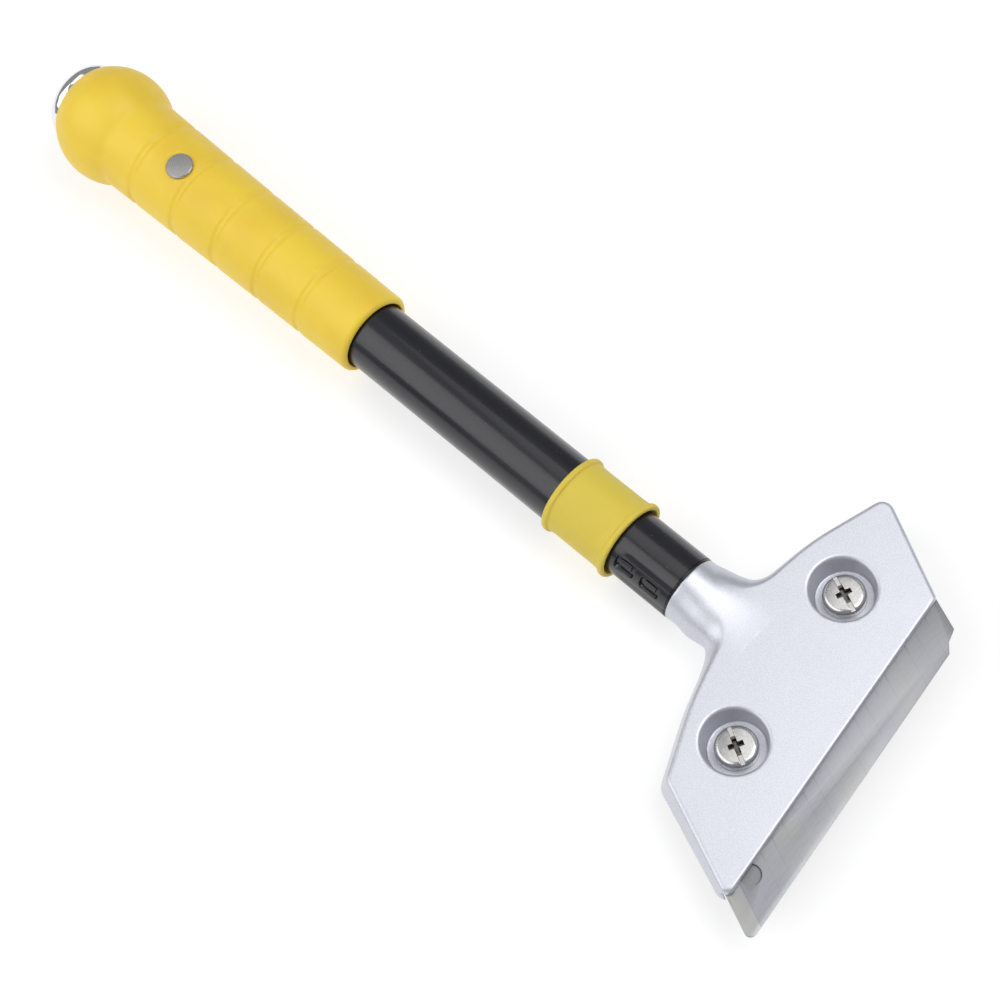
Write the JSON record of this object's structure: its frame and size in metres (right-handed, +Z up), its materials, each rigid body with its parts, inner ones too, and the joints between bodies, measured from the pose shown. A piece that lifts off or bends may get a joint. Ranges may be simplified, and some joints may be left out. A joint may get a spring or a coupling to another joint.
{
  "type": "long-handled blade scraper",
  "caption": "Wide blade scraper with a clamped slanted blade, a round metal handle, a grooved plastic grip, a front collar and a chromed hammer butt.",
  "frame": {"origin": "on the handle tube's axis, at the middle of the bare tube between the grip and the collar", "axes": "+X along the handle from the hammer butt to the blade, +Z square to the head's face on the screw side, +Y to the left when looking along +X with +Z up"},
  "size_m": [0.3004, 0.1055, 0.033],
  "materials": {
    "sprayed_metal": "satin silver spray paint",
    "plate_metal": "satin silver spray paint",
    "blade_steel": "ground and oiled",
    "screw_steel": "zinc plated",
    "rivet_steel": "turned",
    "black_paint": "satin black coating",
    "collar_plastic": "moulded",
    "grip_plastic": "moulded",
    "chrome": "polished"
  },
  "bodies": {
    "handle": {"handle_tube": "black_paint", "head_casting": "sprayed_metal", "front_collar": "collar_plastic", "grip_sleeve": "grip_plastic", "hammer_butt": "chrome", "cross_rivet": "rivet_steel", "left_washer": "screw_steel", "right_washer": "screw_steel"},
    "left_screw": {"left_clamp_screw": "screw_steel"},
    "right_screw": {"right_clamp_screw": "screw_steel"},
    "clamp": {"clamp_plate": "plate_metal"},
    "blade_body": {"blade": "blade_steel"}
  },
  "joints": [
    {"name": "clamp_open", "type": "slide", "parent": "handle", "child": "clamp", "axis": [0.1037, 0.0127, -0.9945], "range_m": [0, 0.0016]},
    {"name": "left_screw_turn", "type": "hinge", "parent": "handle", "child": "left_screw", "pos_m": [0.11103, -0.02345, -0.0012], "axis": [-0.1037, -0.0127, 0.9945], "range_deg": [0, 720.1]},
    {"name": "right_screw_turn", "type": "hinge", "parent": "handle", "child": "right_screw", "pos_m": [0.10534, 0.0229, -0.0012], "axis": [-0.1037, -0.0127, 0.9945], "range_deg": [0, 720.1]},
    {"name": "blade_slide", "type": "slide", "parent": "handle", "child": "blade_body", "axis": [0.9871, 0.1212, 0.1045], "range_m": [0, 0.011]}
  ],
  "couplings": [
    {"joint": "left_screw_turn", "follows": "clamp_open", "rad_per_m": 7854},
    {"joint": "right_screw_turn", "follows": "clamp_open", "rad_per_m": 7854}
  ]
}
